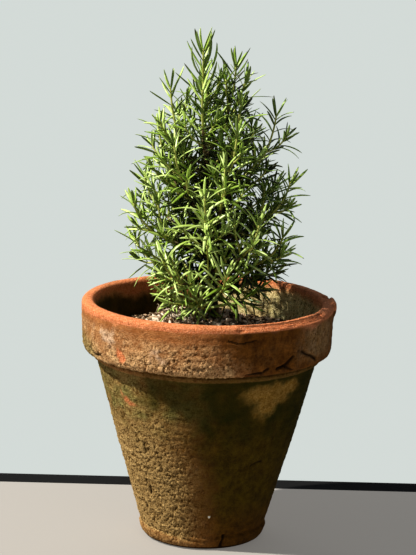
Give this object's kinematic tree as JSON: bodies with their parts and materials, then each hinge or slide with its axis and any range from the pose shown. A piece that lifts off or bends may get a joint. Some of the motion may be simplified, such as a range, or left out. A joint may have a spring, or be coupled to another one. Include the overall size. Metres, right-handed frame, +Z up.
{
  "type": "potted rosemary",
  "caption": "Young bushy rosemary with upright leafy shoots on a central stem, growing in a round tapered terracotta pot with a deep thick rim and filled with potting mix.",
  "frame": {"origin": "middle of the pot's flat underside, where it stands", "axes": "+Z up along the pot's axis, -Y towards the viewer of the picture, +X to the viewer's right"},
  "size_m": [0.21, 0.21, 0.4261],
  "materials": {
    "terracotta": "unglazed earthenware, weathered, with a dull crust of mineral salts and some algae",
    "potting_mix": "dry loose granules of bark, peat and grit",
    "bark": "thin grey-brown bark, green-brown on young wood",
    "foliage": "narrow leathery leaves, slightly waxy above and pale below"
  },
  "bodies": {
    "root": {"pot": "terracotta", "potting_mix": "potting_mix", "main_stem": "bark", "leader_foliage": "foliage", "bough_01": "bark", "foliage_01": "foliage", "bough_02": "bark", "foliage_02": "foliage", "bough_03": "bark", "foliage_03": "foliage", "bough_04": "bark", "foliage_04": "foliage", "bough_05": "bark", "foliage_05": "foliage", "bough_06": "bark", "foliage_06": "foliage", "bough_07": "bark", "foliage_07": "foliage", "bough_08": "bark", "foliage_08": "foliage", "bough_09": "bark", "foliage_09": "foliage", "bough_10": "bark", "foliage_10": "foliage", "bough_11": "bark", "foliage_11": "foliage", "bough_12": "bark", "foliage_12": "foliage", "bough_13": "bark", "foliage_13": "foliage", "bough_14": "bark", "foliage_14": "foliage", "bough_15": "bark", "foliage_15": "foliage", "bough_16": "bark", "foliage_16": "foliage", "bough_17": "bark", "foliage_17": "foliage", "bough_18": "bark", "foliage_18": "foliage", "bough_19": "bark", "foliage_19": "foliage", "bough_20": "bark", "foliage_20": "foliage", "bough_21": "bark", "foliage_21": "foliage", "bough_22": "bark", "foliage_22": "foliage", "bough_23": "bark", "foliage_23": "foliage", "bough_24": "bark", "foliage_24": "foliage", "bough_25": "bark", "foliage_25": "foliage", "bough_26": "bark", "foliage_26": "foliage", "bough_27": "bark", "foliage_27": "foliage", "bough_28": "bark", "foliage_28": "foliage"}
  },
  "joints": []
}
